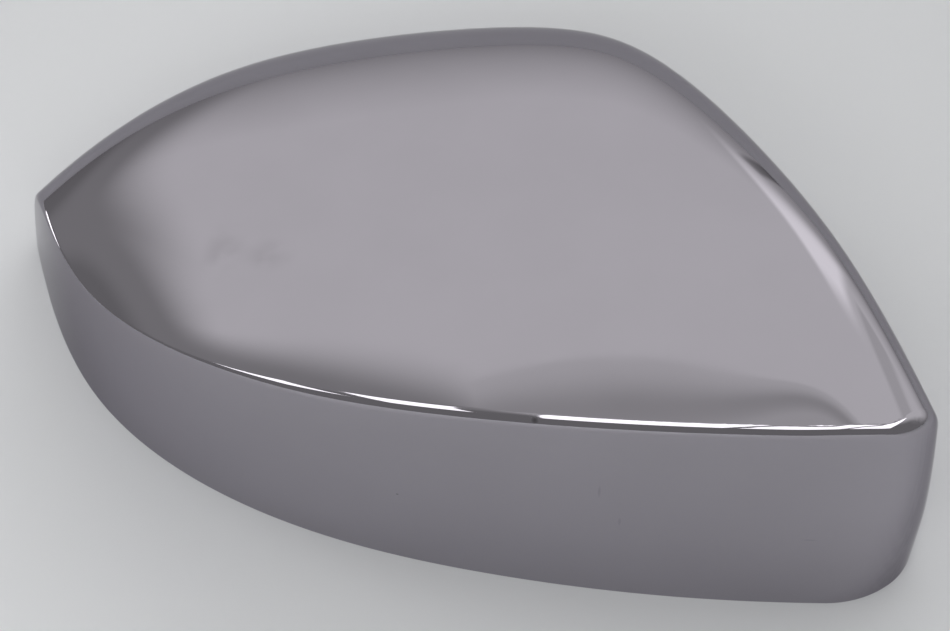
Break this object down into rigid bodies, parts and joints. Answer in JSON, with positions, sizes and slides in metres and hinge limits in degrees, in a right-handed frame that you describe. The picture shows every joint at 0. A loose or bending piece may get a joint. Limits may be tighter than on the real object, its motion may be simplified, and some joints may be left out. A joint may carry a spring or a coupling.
{
  "type": "wing mirror cover",
  "caption": "Bright chrome-plated wing mirror cover: a rounded one-piece shell with a creased upright near wall, open below, with snap clips and locating pins inside.",
  "frame": {"origin": "in the rim plane, under the middle of the cover's box", "axes": "+Z out of the crown, away from the open side; +X along the creased near wall, from the pointed tip to the sharp end corner; +Y from the creased near wall to the rounded far side"},
  "size_m": [0.251, 0.1708, 0.0697],
  "materials": {
    "chrome": "bright chrome plating on a moulded plastic shell, lightly smudged"
  },
  "bodies": {
    "root": {"mirror_cover": "chrome"}
  },
  "joints": []
}
